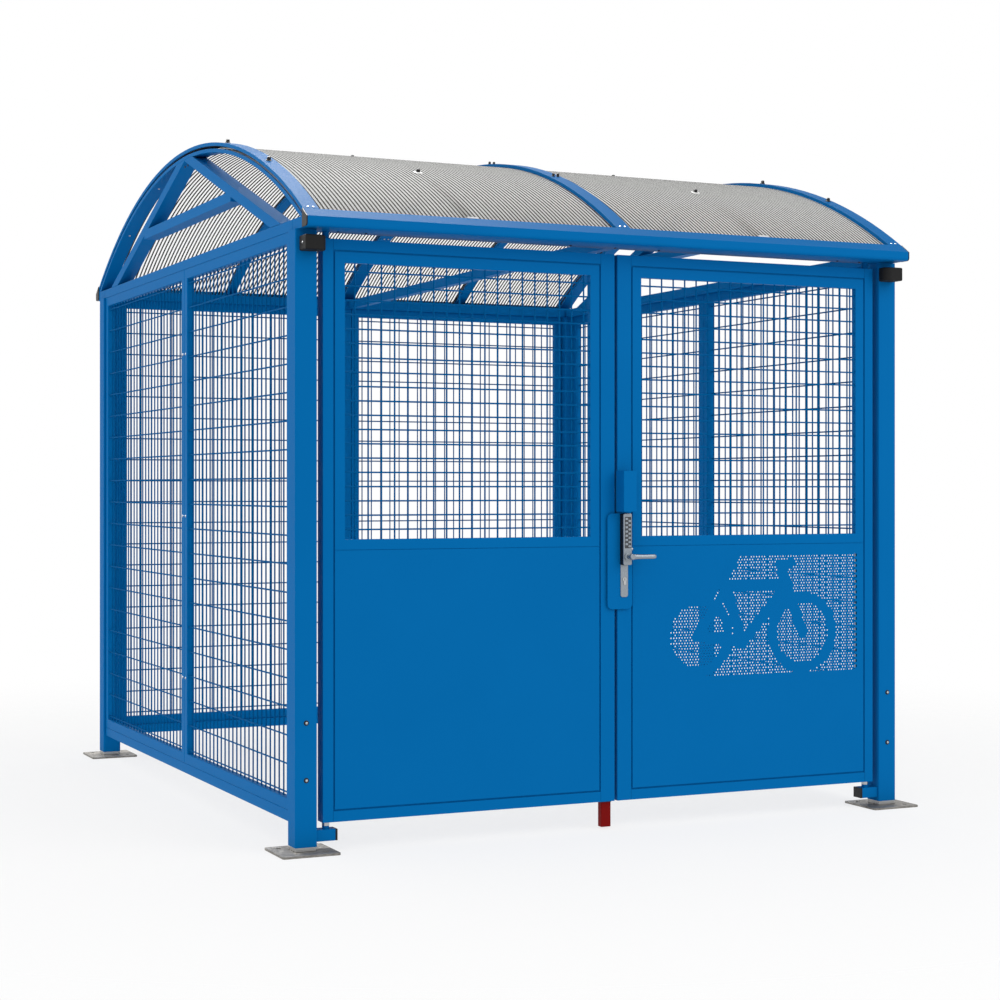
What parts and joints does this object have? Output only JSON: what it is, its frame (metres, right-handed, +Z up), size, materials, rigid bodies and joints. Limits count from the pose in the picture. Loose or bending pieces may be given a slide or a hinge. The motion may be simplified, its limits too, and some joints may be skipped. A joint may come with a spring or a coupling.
{
  "type": "bike shelter",
  "caption": "Lockable bike shelter: square posts, welded mesh walls, double mesh doors with a code lock, and a vaulted ribbed roof on steel arches.",
  "frame": {"origin": "centre of the footprint at ground level", "axes": "+Z up, +Y to the back wall, doors face -Y, +X to the right seen from the doors"},
  "size_m": [2.64, 3.02, 2.641],
  "materials": {
    "blue_paint": "satin",
    "galvanised_steel": "matt",
    "black_plastic": "matt",
    "black_rubber": "matt",
    "polycarbonate": "gloss",
    "satin_silver": "satin",
    "red_paint": "satin"
  },
  "bodies": {
    "shelter": {"base_plate_front_left": "galvanised_steel", "base_plate_front_right": "galvanised_steel", "base_plate_back_left": "galvanised_steel", "base_plate_back_right": "galvanised_steel", "post_front_left": "blue_paint", "post_front_right": "blue_paint", "post_back_left": "blue_paint", "post_back_right": "blue_paint", "side_beam_left": "blue_paint", "side_beam_right": "blue_paint", "eave_beam_front": "blue_paint", "eave_beam_back": "blue_paint", "end_caps": "black_plastic", "bottom_rails": "blue_paint", "wall_frames_left": "blue_paint", "wall_frames_right": "blue_paint", "wall_frames_back": "blue_paint", "wall_mesh_left_front": "blue_paint", "wall_mesh_left_rear": "blue_paint", "wall_mesh_right_front": "blue_paint", "wall_mesh_right_rear": "blue_paint", "wall_mesh_back_left": "blue_paint", "wall_mesh_back_right": "blue_paint", "arch_left": "blue_paint", "arch_bay_left": "blue_paint", "arch_middle": "blue_paint", "arch_bay_right": "blue_paint", "arch_right": "blue_paint", "arch_cover_strips": "blue_paint", "truss_left": "blue_paint", "truss_right": "blue_paint", "tie_middle": "blue_paint", "roof_sheet_left": "polycarbonate", "roof_sheet_right": "polycarbonate", "door_pivots": "blue_paint", "door_stops": "black_rubber"},
    "left_leaf": {"door_left_frame": "blue_paint", "door_left_infill": "blue_paint", "door_left_mesh": "blue_paint"},
    "right_leaf": {"door_right_frame": "blue_paint", "door_right_infill": "blue_paint", "door_right_mesh": "blue_paint", "cover_plate": "blue_paint", "pull_handle": "blue_paint", "code_lock": "satin_silver"},
    "lever": {"lock_lever": "satin_silver"},
    "bolt": {"drop_bolt": "red_paint"}
  },
  "joints": [
    {"name": "left_door_swing", "type": "hinge", "parent": "shelter", "child": "left_leaf", "pos_m": [-1.132, -1.375, 1.1], "axis": [0, 0, -1], "range_deg": [0, 85]},
    {"name": "right_door_swing", "type": "hinge", "parent": "shelter", "child": "right_leaf", "pos_m": [1.132, -1.375, 1.1], "axis": [0, 0, 1], "range_deg": [0, 85]},
    {"name": "lever_turn", "type": "hinge", "parent": "right_leaf", "child": "lever", "pos_m": [0.0285, -1.44, 1.008], "axis": [0, 1, 0], "range_deg": [0, 40], "stiffness_Nm_per_rad": 1, "springref_deg": -34.38},
    {"name": "bolt_lift", "type": "slide", "parent": "left_leaf", "child": "bolt", "axis": [0, 0, 1], "range_m": [0, 0.08]}
  ]
}
